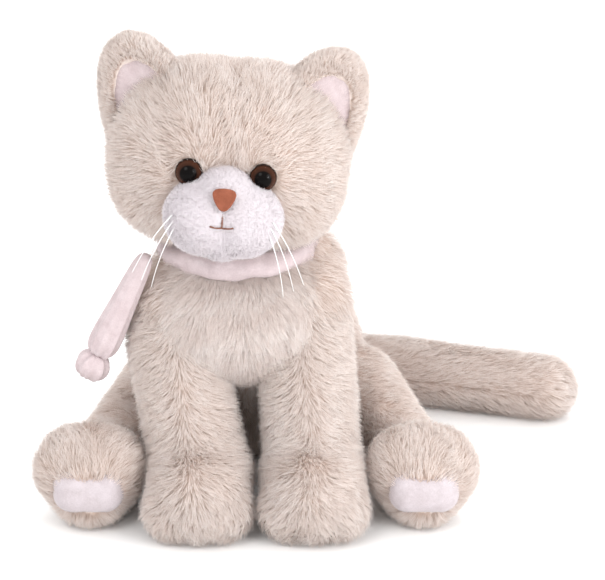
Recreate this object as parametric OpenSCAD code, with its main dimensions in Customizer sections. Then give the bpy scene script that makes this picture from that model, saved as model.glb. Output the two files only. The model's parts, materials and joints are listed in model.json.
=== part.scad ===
// Seated plush cat: sewn pile-fabric skins over polyester stuffing, with soft joints at the neck,
// ears, shoulders, hips, tail root and scarf end.
// The origin is the middle of the flat face that the rump rests on. The front of the cat is -Y, its
// left side is +X and up is +Z.

/* [Fabric] */
// Thickness of the pile fabric, backing and pressed pile together
pile_t = 3; // [2:0.5:4]
// Thickness of the short velour used for the scarf, pads and ear linings
velour_t = 1.2; // [0.8:0.1:2]
// Gap left between a skin and the stuffing in it
fill_gap = 0.3; // [0.3:0.1:1]
// Gap left between pieces that move against each other
move_gap = 0.5; // [0.4:0.1:1]

/* [Body] */
// Radius of the rump
rump_r = 51; // [46:1:56]
// Height of the rump's centre above the floor
rump_z = 45; // [40:1:48]
// Radius of the upper back
back_r = 34; // [30:1:38]
// Radius of the rounded chest and shoulders
chest_r = 30; // [26:1:33]
// Half length of the straight part of the chest, side to side
chest_half = 22; // [14:1:24]
// Height of the chest's centre
chest_z = 92; // [84:1:96]
// Sideways place of the chest: the cat leans a little to its right
chest_x = -8; // [-14:1:0]

/* [Head] */
// Half width of the head
head_half_w = 52; // [46:1:58]
// Radius of the head seen from the side
head_r = 42; // [38:1:47]
// Height of the head's centre
head_z = 166; // [160:1:174]
// Sideways tilt of the head, in degrees
head_roll = 4.5; // [0:0.5:8]
// Radius of the ball of stuffing in the neck
neck_r = 24; // [18:1:26]
// Height of the neck ball's centre
neck_z = 122; // [116:1:126]
// Radius of each half of the muzzle
muzzle_r = 18; // [15:0.5:21]

/* [Face] */
// Diameter of the plastic safety eyes
eye_d = 12; // [9:0.5:15]
// Distance between the eye centres
eye_gap = 32; // [26:1:38]
// Width of the flocked nose
nose_w = 11.5; // [9:0.5:14]
// Diameter of the plastic shanks behind the eyes and the nose
shank_d = 4.4; // [3:0.2:5]
// Diameter of the locking washers
washer_d = 14; // [10:0.5:16]
// Diameter of the whisker thread
whisker_d = 0.8; // [0.5:0.1:1.2]

/* [Ears] */
// Width of an ear at its base
ear_w = 46; // [38:1:50]
// Thickness of an ear
ear_t = 9; // [7:0.5:11]
// Gap under an ear that lets it bend
ear_gap = 1.6; // [1.5:0.1:3]

/* [Front legs] */
// Radius of a front leg at the shoulder
foreleg_r = 21; // [17:0.5:22]
// Radius of a front leg above the paw
wrist_r = 21.5; // [17:0.5:23]
// Half width of a front paw
forepaw_r = 24; // [21:0.5:25]
// Half length of a front paw
forepaw_half = 31; // [26:1:33]
// Height of the shoulder joint
shoulder_z = 80; // [74:1:84]

/* [Hind legs] */
// Radius of the thigh at the hip
thigh_r = 24; // [21:0.5:26]
// Radius of the hind leg at the ankle
ankle_r = 15.5; // [14:0.5:20]
// Radius of the upright hind foot
hindpaw_r = 24; // [20:0.5:25]
// Width of the sole pad
pad_w = 30; // [22:1:36]
// Height of the sole pad
pad_h = 22; // [16:1:28]

/* [Tail] */
// Radius of the tail at its root
tail_root_r = 14; // [10:0.5:15]
// Radius of the tail at its middle
tail_r = 15.8; // [12:0.2:17]
// Length of the last stretch of the tail, from the bend to the tip's centre
tail_end_l = 78; // [50:1:100]

/* [Scarf] */
// Thickness of the scarf's band
band_d = 13; // [9:0.5:14]
// Radius of the hanging end where it leaves the band
sleeve_top_r = 5; // [4:0.5:7]
// Radius of the hanging end above its knot
sleeve_low_r = 7.5; // [6:0.5:9]

/* [Hidden] */
$fn = 48;
arc_steps = 6;
eps = 0.01;
floor_l = 600;

side_left = 1;
side_right = -1;

rump = [0, 0, rump_z];
back = [chest_x, -43, chest_z - 8];
chest = [chest_x, -59, chest_z];
neck = [chest_x - 1, -51, neck_z];

head = [chest_x - 4, -61, head_z];
head_square = 2.3;
muzzle_z = -16.5;
muzzle_y = -42;
muzzle_half = 9;
nose_z = -4.5;
nose_y = -53;
eye_z = 2;
eye_x = eye_gap / 2;
eye_face_r = head_r * pow(1 - pow(eye_x / head_half_w, head_square), 1 / head_square);
eye_angle = asin(eye_z / eye_face_r);

shoulder_half = 30;
shoulder_y = -69;
forefoot = [26, -98];
wrist_y = -91;
fore_swing = 45;
hip = [45, -15, thigh_r + 8];
ankle = [76, -77, ankle_r + 3];
hindfoot_y = -91;
hind_swing = 25;

tail_z = tail_r + 0.2;
tail_gap = 1.8;
tail_reach = rump_r + tail_root_r + tail_gap;
tail_root = [0, sqrt(tail_reach * tail_reach - pow(rump_z - tail_z, 2)), tail_z];
tail_bend = tail_root + [72, -13, 0];
tail_turn = -17;
tail_tip = tail_bend + tail_end_l * [cos(tail_turn), sin(tail_turn), 0];

band_r = neck_r + band_d / 2 + 1;
band = [neck[0], neck[1], chest_z + 27.5];
sleeve_top = [band[0] - 41, band[1] - 28, band[2] + 2];
sleeve_gap = 5.5;
sleeve_low_x = chest_x - shoulder_half - foreleg_r - sleeve_low_r - sleeve_gap;
sleeve_low = [sleeve_low_x, sleeve_top[1] + 3, sleeve_top[2] - 42];
knot_r = 8.5;
tip_r = 7;
tip_place = sleeve_low + [-6, 1, -15];

skin = "#e6d8cc";
white = "#f4efee";
filling = "#f7f7f5";
pink = "#ecdedb";

// ---- shared shapes ----

// Half outline of a tapered roll with round ends, from radius r0 at 0 to radius r1 at l.
function roll_outline(r0, r1, l) =
    let (lean = asin((r0 - r1) / l))
    concat(
        [for (i = [0:arc_steps]) let (t = -90 + (90 + lean) * i / arc_steps) [r0 * cos(t), r0 * sin(t)]],
        [for (i = [0:arc_steps]) let (t = lean + (90 - lean) * i / arc_steps) [r1 * cos(t), l + r1 * sin(t)]]
    );

// Half outline of an oval of half length a and radius b; a higher power is squarer.
function oval_outline(a, b, power) =
    [for (i = [0:2 * arc_steps])
        let (t = -90 + 90 * i / arc_steps)
        [b * pow(abs(cos(t)), 2 / power), a * sign(sin(t)) * pow(abs(sin(t)), 2 / power)]];

// Closed outline of a flat oval, w wide and h high.
function flat_oval(w, h) = [for (i = [0:35]) [w / 2 * cos(10 * i), h / 2 * sin(10 * i)]];

module roll(p, q, rp, rq) {
    d = q - p;
    l = norm(d);
    translate(p)
        rotate([0, acos(d[2] / l), atan2(d[1], d[0])])
            rotate_extrude()
                polygon(roll_outline(rp, rq, l));
}

module above_floor(z = 0) {
    intersection() {
        children();
        translate([-floor_l / 2, -floor_l / 2, z]) cube([floor_l, floor_l, floor_l]);
    }
}

// ---- body ----

module body_form(inset) {
    above_floor(inset) {
        union() {
            roll(rump, back, rump_r - inset, back_r - inset);
            translate(chest) rotate([0, 90, 0]) translate([0, 0, -chest_half])
                rotate_extrude() polygon(roll_outline(chest_r - inset, chest_r - inset, 2 * chest_half));
        }
    }
}

module neck_room() {
    translate(neck) sphere(neck_r + move_gap);
    // the neck seam is a flat ring
    translate([neck[0], neck[1], chest_z + 20]) cylinder(r = 60, h = 40);
}

// Room for a limb: a socket round its joint ball and a straight way out along it.
module limb_socket(r, direction) {
    reach = 60;
    sphere(r + move_gap + 0.4);
    rotate([0, acos(direction[2] / norm(direction)), atan2(direction[1], direction[0])])
        cylinder(r = r + move_gap + 0.15, h = reach);
}

module limb_room() {
    for (side = [side_left, side_right]) {
        for (share = [0, 0.5, 1])
            foreleg_place(side, share * fore_swing) limb_socket(foreleg_r, wrist_from_shoulder(side));
        hindleg_place(side, 0) limb_socket(thigh_r, ankle_from_hip(side));
    }
}

module body_cover() {
    color(skin)
        difference() {
            body_form(0);
            body_form(pile_t);
            limb_room();
            neck_room();
        }
}

// The fibre is dented well clear of the four limbs, at each joint and a little way along the limb.
module stuffing_hollows() {
    dent = 7;
    along = 0.35;
    for (side = [side_left, side_right], t = [0, along]) {
        foreleg_place(side, 0) translate(t * wrist_from_shoulder(side)) sphere(foreleg_r + dent);
        hindleg_place(side, 0) translate(t * ankle_from_hip(side)) sphere(thigh_r + dent);
    }
}

bag_r = 24;
bag_h = 16;
bag_z = pile_t + fill_gap + bag_h / 2 + 1;

module bag_form(gap) {
    translate([0, 0, bag_z])
        rotate_extrude() polygon(oval_outline(bag_h / 2 + gap, bag_r + gap, 2.6));
}

module body_stuffing() {
    color(filling)
        difference() {
            body_form(pile_t + fill_gap);
            bag_form(fill_gap);
            stuffing_hollows();
            neck_room();
        }
}

module seat_pellet_bag() {
    color("#d9d4cc") bag_form(0);
}

// The long-haired front panel: a curved patch with a pointed lower end.
module chest_panel() {
    top_z = chest_z + 19.5;
    wide_z = chest_z;
    point_z = chest_z - 25;
    half = 31;
    color(white)
        difference() {
            intersection() {
                translate([chest_x - chest_half, chest[1], chest_z]) rotate([0, 90, 0])
                    translate([0, 0, -chest_r])
                        cylinder(r = chest_r + fill_gap + pile_t, h = 2 * chest_half + 2 * chest_r);
                translate([chest_x, chest[1], 0]) rotate([90, 0, 0])
                    linear_extrude(height = 90)
                        polygon([[-half, top_z], [-half, wide_z], [0, point_z], [half, wide_z], [half, top_z]]);
            }
            translate([chest_x - chest_half, chest[1], chest_z]) rotate([0, 90, 0])
                translate([0, 0, -chest_r - eps])
                    cylinder(r = chest_r + fill_gap, h = 2 * chest_half + 2 * chest_r + 2 * eps);
            translate([-floor_l / 2, chest[1], 0]) cube([floor_l, floor_l, floor_l]);
            limb_room();
            neck_room();
        }
}

// A blank woven tab that lies on the cover low on the cat's right side, sewn in at its top edge.
module care_label() {
    label_w = 16;
    label_h = 24;
    label_t = 0.8;
    label_turn = 140;
    label_lift = 6;
    color("white")
        difference() {
            intersection() {
                body_form(-fill_gap - label_t);
                translate(rump) rotate([0, 0, label_turn])
                    translate([0, -label_w / 2, label_lift - label_h / 2]) cube([2 * rump_r, label_w, label_h]);
            }
            body_form(-fill_gap);
        }
}

// ---- neck and head ----

module neck_stuffing() {
    color(filling) translate(neck) sphere(neck_r);
}

module head_place() {
    translate(head) rotate([0, head_roll, 0]) children();
}

module head_form(inset) {
    rotate([0, 90, 0])
        rotate_extrude() polygon(oval_outline(head_half_w - inset, head_r - inset, head_square));
}

module eye_place(side) {
    translate([side * eye_x, 0, 0]) rotate([-eye_angle, 0, 0]) rotate([90, 0, 0])
        translate([0, 0, eye_face_r]) children();
}

module nose_place() {
    translate([0, nose_y, nose_z]) rotate([-18, 0, 0]) rotate([90, 0, 0]) children();
}

shank_gap = 0.15;
eye_shank_l = 13;
eye_washer_back = pile_t + 2.6;
nose_shank_l = 24;
nose_washer_back = 20.5;
nose_washer_d = 0.7 * washer_d;
washer_t = 1.4;

module shank_room() {
    for (side = [side_left, side_right])
        eye_place(side) translate([0, 0, -eye_shank_l - 1]) cylinder(d = shank_d + 2 * shank_gap, h = eye_shank_l + 4);
    nose_place() translate([0, 0, -nose_shank_l - 1]) cylinder(d = shank_d + 2 * shank_gap, h = nose_shank_l + 2);
}

module washer_room() {
    for (side = [side_left, side_right])
        eye_place(side) translate([0, 0, -eye_washer_back - washer_t - 0.5])
            cylinder(d = washer_d + 1, h = washer_t + 2);
    nose_place() translate([0, 0, -nose_washer_back - washer_t - 0.5])
        cylinder(d = nose_washer_d + 1, h = washer_t + 1);
}

module socket_room() {
    rotate([0, -head_roll, 0]) translate(neck - head) sphere(neck_r + move_gap);
}

module eye_seat_room() {
    for (side = [side_left, side_right])
        eye_place(side) translate([0, 0, -1.5]) cylinder(d = eye_d + 2 * fill_gap, h = 8);
}

module head_cover() {
    color(skin)
        head_place()
            difference() {
                head_form(0);
                head_form(pile_t);
                shank_room();
                eye_seat_room();
                socket_room();
            }
}

module head_stuffing() {
    color(filling)
        head_place()
            difference() {
                head_form(pile_t + fill_gap);
                shank_room();
                washer_room();
                socket_room();
            }
}

// The straight drum that the muzzle sits on, as deep as the face.
module face_drum() {
    translate([-head_half_w, 0, 0]) rotate([0, 90, 0]) cylinder(r = head_r + fill_gap, h = 2 * head_half_w);
}

module muzzle_form(inset) {
    for (side = [side_left, side_right])
        translate([side * muzzle_half, muzzle_y, muzzle_z]) sphere(muzzle_r - inset);
}

module muzzle_cover() {
    color(white)
        head_place()
            difference() {
                muzzle_form(0);
                muzzle_form(pile_t);
                face_drum();
                shank_room();
                eye_seat_room();
                nose_place() translate([0, 0, -1.2]) cylinder(d = nose_w + 1, h = 12);
            }
}

module muzzle_stuffing() {
    color(filling)
        head_place()
            difference() {
                muzzle_form(pile_t + fill_gap);
                face_drum();
                shank_room();
            }
}

// A domed eye on a shank.
module eye(side) {
    dome = eye_d / 2;
    color("#2a1710")
        head_place() eye_place(side) {
            union() {
                intersection() {
                    translate([0, 0, -1]) sphere(dome);
                    translate([0, 0, -1]) cylinder(r = dome + 1, h = dome + 1);
                }
                translate([0, 0, -eye_shank_l]) cylinder(d = shank_d, h = eye_shank_l);
            }
        }
}
module eye_left() { eye(side_left); }
module eye_right() { eye(side_right); }

module eye_washer(side) {
    color("white")
        head_place() eye_place(side)
            translate([0, 0, -eye_washer_back - washer_t])
                difference() {
                    cylinder(d = washer_d, h = washer_t);
                    translate([0, 0, -1]) cylinder(d = shank_d + 2 * shank_gap, h = washer_t + 2);
                }
}
module eye_washer_left() { eye_washer(side_left); }
module eye_washer_right() { eye_washer(side_right); }

// A rounded triangle, point down, made of three round corners and the flat between them.
module nose_outline(w) {
    corner = w * 0.2;
    reach = w / 2 - corner;
    circle(r = w * 0.34);
    for (side = [side_left, side_right])
        translate([side * reach, corner]) circle(r = corner);
    translate([0, -reach]) circle(r = corner);
    polygon([
        [-reach, 2 * corner], [reach, 2 * corner], [w / 2 - 0.3, corner * 0.4],
        [corner * 0.8, -w / 2 + 0.9], [-corner * 0.8, -w / 2 + 0.9], [-w / 2 + 0.3, corner * 0.4],
    ]);
}

module nose() {
    color("#a9653f")
        head_place() nose_place()
            union() {
                translate([0, 0, -1]) linear_extrude(height = 3.4) nose_outline(nose_w);
                translate([0, 0, 2.4]) linear_extrude(height = 1.6) nose_outline(nose_w * 0.78);
                translate([0, 0, -nose_shank_l]) cylinder(d = shank_d, h = nose_shank_l);
            }
}

module nose_washer() {
    color("white")
        head_place() nose_place()
            translate([0, 0, -nose_washer_back - washer_t])
                difference() {
                    cylinder(d = nose_washer_d, h = washer_t);
                    translate([0, 0, -1]) cylinder(d = shank_d + 2 * shank_gap, h = washer_t + 2);
                }
}

stitch_w = 1;

// One upright stitch down the crease of the muzzle and a short one to each side of its foot.
module mouth_stitching() {
    upright = 6;
    stroke = 5;
    rise = 8;
    color("#7a4a34")
        head_place()
            difference() {
                intersection() {
                    muzzle_form(-stitch_w);
                    translate([0, muzzle_y, nose_z - nose_w / 2 - 0.8 - upright]) rotate([90, 0, 0])
                        linear_extrude(height = 2 * muzzle_r) {
                            translate([-stitch_w / 2, 0]) square([stitch_w, upright]);
                            for (side = [side_left, side_right])
                                mirror([side == side_left ? 0 : 1, 0])
                                    rotate(rise) square([stroke, stitch_w]);
                        }
                }
                muzzle_form(0);
            }
}

// Three threads on each cheek, each a shallow arc that droops outwards from the surface.
module whisker_set(side) {
    bend_r = 70;
    bend = 28;
    color("white")
        head_place()
            difference() {
                mirror([side == side_left ? 0 : 1, 0, 0])
                    for (i = [0:2]) {
                        slope = 42 + 7 * i;
                        translate([22.5 - 0.8 * i, muzzle_y - 11.5, muzzle_z + 4.5 - 2.6 * i])
                            rotate([0, 0, 5 * i - 12]) rotate([90, 0, 0])
                                translate([-bend_r * sin(slope), -bend_r * cos(slope)])
                                    rotate([0, 0, 90 - slope - bend])
                                        rotate_extrude(angle = bend) translate([bend_r, 0]) circle(d = whisker_d);
                    }
                muzzle_form(0);
            }
}
module whiskers_left() { whisker_set(side_left); }
module whiskers_right() { whisker_set(side_right); }

// ---- ears ----

ear_arch_r = 46;
ear_h = 37;
ear_deep = 26;
ear_round = 0.56;
lining_w = ear_w - 18;
lining_h = ear_h - 8;

// A pointed arch with a rounded top, w wide at its base line.
module ear_arch(w, h) {
    top_r = ear_round * w;
    intersection() {
        translate([ear_arch_r - w / 2, 0]) circle(r = ear_arch_r);
        translate([w / 2 - ear_arch_r, 0]) circle(r = ear_arch_r);
        union() {
            translate([0, h - top_r]) circle(r = top_r);
            translate([-w, -ear_deep]) square([2 * w, ear_deep + h - top_r]);
        }
    }
}

ear_x = 35;
ear_z = 17;
ear_tilt = 22;
ear_toe = 16;

module ear_place(side) {
    head_place()
        translate([side * ear_x, -4, ear_z])
            rotate([0, side * ear_tilt, 0]) rotate([0, 0, side * ear_toe]) children();
}

module head_under_ear(side, gap) {
    rotate([0, 0, -side * ear_toe]) rotate([0, -side * ear_tilt, 0]) translate([-side * ear_x, 4, -ear_z])
        head_form(-gap);
}

module ear_cover(side) {
    color(skin)
        ear_place(side)
            difference() {
                rotate([90, 0, 0]) translate([0, 0, -ear_t / 2]) linear_extrude(height = ear_t) ear_arch(ear_w, ear_h);
                rotate([90, 0, 0]) translate([0, 0, ear_t / 2 - 3])
                    linear_extrude(height = ear_t) ear_arch(lining_w + 2 * fill_gap, lining_h + fill_gap);
                head_under_ear(side, ear_gap);
            }
}
module ear_cover_left() { ear_cover(side_left); }
module ear_cover_right() { ear_cover(side_right); }

module ear_lining(side) {
    color(pink)
        ear_place(side)
            difference() {
                rotate([90, 0, 0]) translate([0, 0, ear_t / 2 - 3 + fill_gap])
                    linear_extrude(height = velour_t) ear_arch(lining_w, lining_h);
                head_under_ear(side, ear_gap + 1);
            }
}
module ear_lining_left() { ear_lining(side_left); }
module ear_lining_right() { ear_lining(side_right); }

// ---- front legs ----

function wrist_from_shoulder(side) =
    [side * (forefoot[0] - shoulder_half) - chest_x, wrist_y - shoulder_y, wrist_r + 2 - shoulder_z];

// Drawn from the shoulder joint; the place module sets its swing.
module foreleg_form(side, inset) {
    roll([0, 0, 0], wrist_from_shoulder(side), foreleg_r - inset, wrist_r - inset);
}

module forepaw_form(side, inset) {
    translate([wrist_from_shoulder(side)[0], forefoot[1] - shoulder_y, forepaw_r - 2 - shoulder_z])
        rotate([90, 0, 0]) rotate_extrude() polygon(oval_outline(forepaw_half - inset, forepaw_r - inset, 2.3));
}

module foreleg_place(side, swing) {
    translate([side * shoulder_half + chest_x, shoulder_y, shoulder_z]) rotate([-swing, 0, 0]) children();
}

module foreleg_body(side, inset) {
    foreleg_place(side, 0)
        translate([0, 0, -shoulder_z]) above_floor(max(inset, 0))
            translate([0, 0, shoulder_z]) union() {
                foreleg_form(side, inset);
                forepaw_form(side, inset);
            }
}

module front_leg_cover(side) {
    color(skin)
        difference() {
            foreleg_body(side, 0);
            foreleg_body(side, pile_t);
        }
}
module front_leg_cover_left() { front_leg_cover(side_left); }
module front_leg_cover_right() { front_leg_cover(side_right); }

module front_leg_stuffing(side) {
    color(filling) foreleg_body(side, pile_t + fill_gap);
}
module front_leg_stuffing_left() { front_leg_stuffing(side_left); }
module front_leg_stuffing_right() { front_leg_stuffing(side_right); }

// ---- hind legs ----

module hindleg_place(side, swing) {
    translate([side * hip[0], hip[1], hip[2]]) rotate([0, 0, side * swing]) children();
}

function ankle_from_hip(side) = [side * (ankle[0] - hip[0]), ankle[1] - hip[1], ankle[2] - hip[2]];

module thigh_form(side, inset) {
    roll([0, 0, 0], ankle_from_hip(side), thigh_r - inset, ankle_r - inset);
}

module hindpaw_form(side, inset) {
    translate([side * (ankle[0] - hip[0]), hindfoot_y - hip[1], hindpaw_r - 1.5 - hip[2]])
        rotate([90, 0, 0]) rotate_extrude() polygon(oval_outline(hindpaw_r - inset, hindpaw_r - inset, 2.5));
}

module hindleg_body(side, inset) {
    above_floor(max(inset, 0))
        hindleg_place(side, 0) union() {
            thigh_form(side, inset);
            hindpaw_form(side, inset);
        }
}

module hind_leg_cover(side) {
    color(skin)
        difference() {
            hindleg_body(side, 0);
            hindleg_body(side, pile_t);
        }
}
module hind_leg_cover_left() { hind_leg_cover(side_left); }
module hind_leg_cover_right() { hind_leg_cover(side_right); }

module hind_leg_stuffing(side) {
    color(filling) hindleg_body(side, pile_t + fill_gap);
}
module hind_leg_stuffing_left() { hind_leg_stuffing(side_left); }
module hind_leg_stuffing_right() { hind_leg_stuffing(side_right); }

// A velour oval sewn on the sole of the upright foot.
module paw_pad(side) {
    color(pink)
        difference() {
            intersection() {
                hindleg_place(side, 0) hindpaw_form(side, -fill_gap - velour_t);
                translate([side * ankle[0], hindfoot_y, hindpaw_r - 1.5]) rotate([90, 0, 0])
                    linear_extrude(height = 2 * hindpaw_r) polygon(flat_oval(pad_w, pad_h));
            }
            hindleg_place(side, 0) hindpaw_form(side, -fill_gap);
        }
}
module paw_pad_left() { paw_pad(side_left); }
module paw_pad_right() { paw_pad(side_right); }

// ---- tail ----

module tail_form(inset) {
    union() {
        roll(tail_root, tail_bend, tail_root_r - inset, tail_r - inset);
        roll(tail_bend, tail_tip, tail_r - inset - 0.2, tail_r - inset - 0.8);
    }
}

module tail_cover() {
    color(skin)
        difference() {
            tail_form(0);
            tail_form(pile_t);
        }
}

module tail_stuffing() {
    color(filling) tail_form(pile_t + fill_gap);
}

// ---- scarf ----

module scarf_band() {
    color(pink)
        translate(band) rotate_extrude() translate([band_r, 0]) circle(d = band_d);
}

module scarf_end() {
    color(pink) roll(sleeve_top, sleeve_low, sleeve_top_r, sleeve_low_r);
}

module scarf_knot() {
    color(pink)
        difference() {
            translate(sleeve_low + [-2, 0, -8]) sphere(knot_r);
            roll(sleeve_top, sleeve_low, sleeve_top_r, sleeve_low_r);
        }
}

module scarf_tip() {
    color(pink)
        difference() {
            translate(tip_place) sphere(tip_r);
            translate(sleeve_low + [-2, 0, -8]) sphere(knot_r);
        }
}

body_cover();
body_stuffing();
seat_pellet_bag();
chest_panel();
care_label();
neck_stuffing();
head_cover();
head_stuffing();
muzzle_cover();
muzzle_stuffing();
eye_left();
eye_right();
eye_washer_left();
eye_washer_right();
nose();
nose_washer();
mouth_stitching();
whiskers_left();
whiskers_right();
ear_cover_left();
ear_cover_right();
ear_lining_left();
ear_lining_right();
front_leg_cover_left();
front_leg_cover_right();
front_leg_stuffing_left();
front_leg_stuffing_right();
hind_leg_cover_left();
hind_leg_cover_right();
hind_leg_stuffing_left();
hind_leg_stuffing_right();
paw_pad_left();
paw_pad_right();
tail_cover();
tail_stuffing();
scarf_band();
scarf_end();
scarf_knot();
scarf_tip();
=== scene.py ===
import json
import math

import bmesh
import bpy
import numpy as np
from mathutils import Euler, Matrix, Vector, kdtree


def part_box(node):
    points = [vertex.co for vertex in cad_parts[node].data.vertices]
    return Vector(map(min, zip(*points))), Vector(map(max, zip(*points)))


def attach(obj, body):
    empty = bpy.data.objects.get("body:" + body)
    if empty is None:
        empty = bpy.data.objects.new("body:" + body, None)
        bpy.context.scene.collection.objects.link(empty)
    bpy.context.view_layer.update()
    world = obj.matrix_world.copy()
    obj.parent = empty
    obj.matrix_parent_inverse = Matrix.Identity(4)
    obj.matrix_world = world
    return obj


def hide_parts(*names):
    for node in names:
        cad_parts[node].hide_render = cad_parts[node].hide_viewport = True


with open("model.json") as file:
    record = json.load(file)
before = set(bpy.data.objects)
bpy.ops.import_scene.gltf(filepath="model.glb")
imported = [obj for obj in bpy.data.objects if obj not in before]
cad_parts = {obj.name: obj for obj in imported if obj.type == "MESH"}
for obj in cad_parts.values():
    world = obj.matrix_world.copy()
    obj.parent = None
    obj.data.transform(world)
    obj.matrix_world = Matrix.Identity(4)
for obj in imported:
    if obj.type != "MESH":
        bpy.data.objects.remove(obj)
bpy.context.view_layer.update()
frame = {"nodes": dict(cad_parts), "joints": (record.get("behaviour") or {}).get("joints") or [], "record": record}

# ---- Camera, floor and lights ----
# A table-top shot from straight in front and a little above, on a plain pale sweep: a broad light from
# each side, one from behind, a small one for the eyes to catch, and an even white surround.

joints = {j["name"]: Vector(j["pos_m"]) for j in frame["joints"]}
seat = Vector(frame["record"]["mounts"][0]["pos_m"])

look_at = Vector((0.021, -0.045, 0.095))
camera_far = 0.9
camera_rise = math.radians(20)

camera_data = bpy.data.cameras.new("camera")
camera_data.lens = 114
camera_data.sensor_width = 36
camera = bpy.data.objects.new("camera", camera_data)
bpy.context.scene.collection.objects.link(camera)
camera.location = look_at + camera_far * Vector((0, -math.cos(camera_rise), math.sin(camera_rise)))
camera.rotation_euler = (look_at - camera.location).to_track_quat("-Z", "Y").to_euler()
bpy.context.scene.camera = camera


def srgb(red, green, blue):
    """A colour given as screen values from 0 to 255, made linear for the shaders."""
    share = [c / 255 for c in (red, green, blue)]
    return tuple(c / 12.92 if c < 0.04045 else ((c + 0.055) / 1.055) ** 2.4 for c in share) + (1.0,)


def soft_light(name, place, aim, size, power, tint=(1, 1, 1)):
    light = bpy.data.lights.new(name, "AREA")
    light.shape = "DISK"
    light.size = size
    light.energy = power
    light.color = tint
    lamp = bpy.data.objects.new(name, light)
    lamp.location = place
    lamp.rotation_euler = (Vector(aim) - Vector(place)).to_track_quat("-Z", "Y").to_euler()
    bpy.context.scene.collection.objects.link(lamp)


soft_light("key_light", (-0.5, -0.95, 1.05), (0, -0.05, 0.1), 0.6, 4.4, (1.0, 0.995, 0.99))
soft_light("fill_light", (0.9, -0.8, 0.5), (0.02, -0.03, 0.08), 0.8, 6.2)
soft_light("rim_light", (0.3, 0.85, 1.0), (0, -0.05, 0.1), 0.7, 5.0)
soft_light("catch_light", (0.84, -0.95, 0.46), (0, -0.1, 0.16), 0.05, 2.0)

surround = bpy.data.worlds.new("surround")
bpy.context.scene.world = surround
surround.use_nodes = True
surround.node_tree.nodes["Background"].inputs["Color"].default_value = (1, 1, 1, 1)
surround.node_tree.nodes["Background"].inputs["Strength"].default_value = 1.18
bpy.context.scene.view_settings.view_transform = "Standard"


def new_finish(name, roughness=0.8, specular=0.3):
    """A material with its nodes, its shader and its output, for a finish to be wired into."""
    finish = bpy.data.materials.new(name)
    finish.use_nodes = True
    shader = finish.node_tree.nodes["Principled BSDF"]
    shader.inputs["Roughness"].default_value = roughness
    shader.inputs["Specular IOR Level"].default_value = specular
    return finish, finish.node_tree.nodes, finish.node_tree.links, shader


def node_of(nodes, kind, settings=None, **inputs):
    made = nodes.new(kind)
    for key, value in (settings or {}).items():
        setattr(made, key, value)
    for key, value in inputs.items():
        made.inputs[key.replace("_", " ")].default_value = value
    return made


def ramp_of(nodes, *stops):
    ramp = nodes.new("ShaderNodeValToRGB")
    bands = ramp.color_ramp.elements
    while len(bands) < len(stops):
        bands.new(0.5)
    for band, (place, colour) in zip(bands, stops):
        band.position = place
        band.color = colour
    return ramp


floor_mesh = bpy.data.meshes.new("floor")
shape = bmesh.new()
bmesh.ops.create_grid(shape, x_segments=2, y_segments=2, size=6)
shape.to_mesh(floor_mesh)
shape.free()
floor = bpy.data.objects.new("floor", floor_mesh)
bpy.context.scene.collection.objects.link(floor)
floor_finish, nodes, links, shader = new_finish("floor_paper", 0.9, 0.1)
shader.inputs["Base Color"].default_value = srgb(250, 250, 250)
floor_mesh.materials.append(floor_finish)

# ---- Body ----
# The rump, belly, back and shoulders are one sewn bag of cream pile fabric, stuffed firmly with
# polyester fibre; its weight sits in a pellet bag behind the flat resting face.

PILE_BASE = 0.0025  # how far the skin lies under the outline of the combed pile
VOXEL = 0.0026
SKIN_FLOOR = 0.0004
PILE_FLOOR = 0.0005


def span(node):
    low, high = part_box(node)
    return Vector(low), Vector(high)


def row_of_balls(start, end, r_start, r_end, count):
    """Balls from one point to another, each a step further and a step larger or smaller."""
    steps = [i / (count - 1) for i in range(count)]
    return [(start.lerp(end, t), r_start + (r_end - r_start) * t) for t in steps]


def piece_of(name, form):
    """An object made from a bmesh, which is freed, with its faces shaded smooth."""
    mesh = bpy.data.meshes.new(name)
    form.to_mesh(mesh)
    form.free()
    mesh.polygons.foreach_set("use_smooth", [True] * len(mesh.polygons))
    piece = bpy.data.objects.new(name, mesh)
    bpy.context.scene.collection.objects.link(piece)
    return piece


def stuffed_form(name, balls, floor_z=None, voxel=VOXEL, smooth=6):
    """A stuffed skin: overlapping balls of filling are joined into one bag, which is then relaxed."""
    bag = bmesh.new()
    for centre, radius in balls:
        place = Matrix.Translation(centre)
        bmesh.ops.create_icosphere(bag, subdivisions=3, radius=radius, matrix=place)
    if floor_z is not None:
        for v in bag.verts:
            v.co.z = max(v.co.z, floor_z)
    piece = piece_of(name, bag)
    remesh = piece.modifiers.new("join", "REMESH")
    remesh.mode = "VOXEL"
    remesh.voxel_size = voxel
    remesh.use_smooth_shade = True
    relax = piece.modifiers.new("relax", "SMOOTH")
    relax.factor = 0.6
    relax.iterations = smooth
    made = bpy.data.meshes.new_from_object(piece.evaluated_get(bpy.context.evaluated_depsgraph_get()))
    piece.modifiers.clear()
    piece.data = made
    made.name = name
    return piece


def drift(points, size, seed):
    """A smooth wandering vector at each point, about size across, the same on every run."""
    rng = np.random.default_rng(seed)
    total = np.zeros_like(points)
    for share in (1.0, 0.6):
        waves = rng.normal(size=(3, 3)) * 2 * math.pi / size / share
        total += share * np.sin(points @ waves + rng.uniform(0, 2 * math.pi, 3))
    return total / 1.6


def unit(v):
    return v / np.maximum(np.linalg.norm(v, axis=1, keepdims=True), 1e-9)


RINGS = 2


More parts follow.
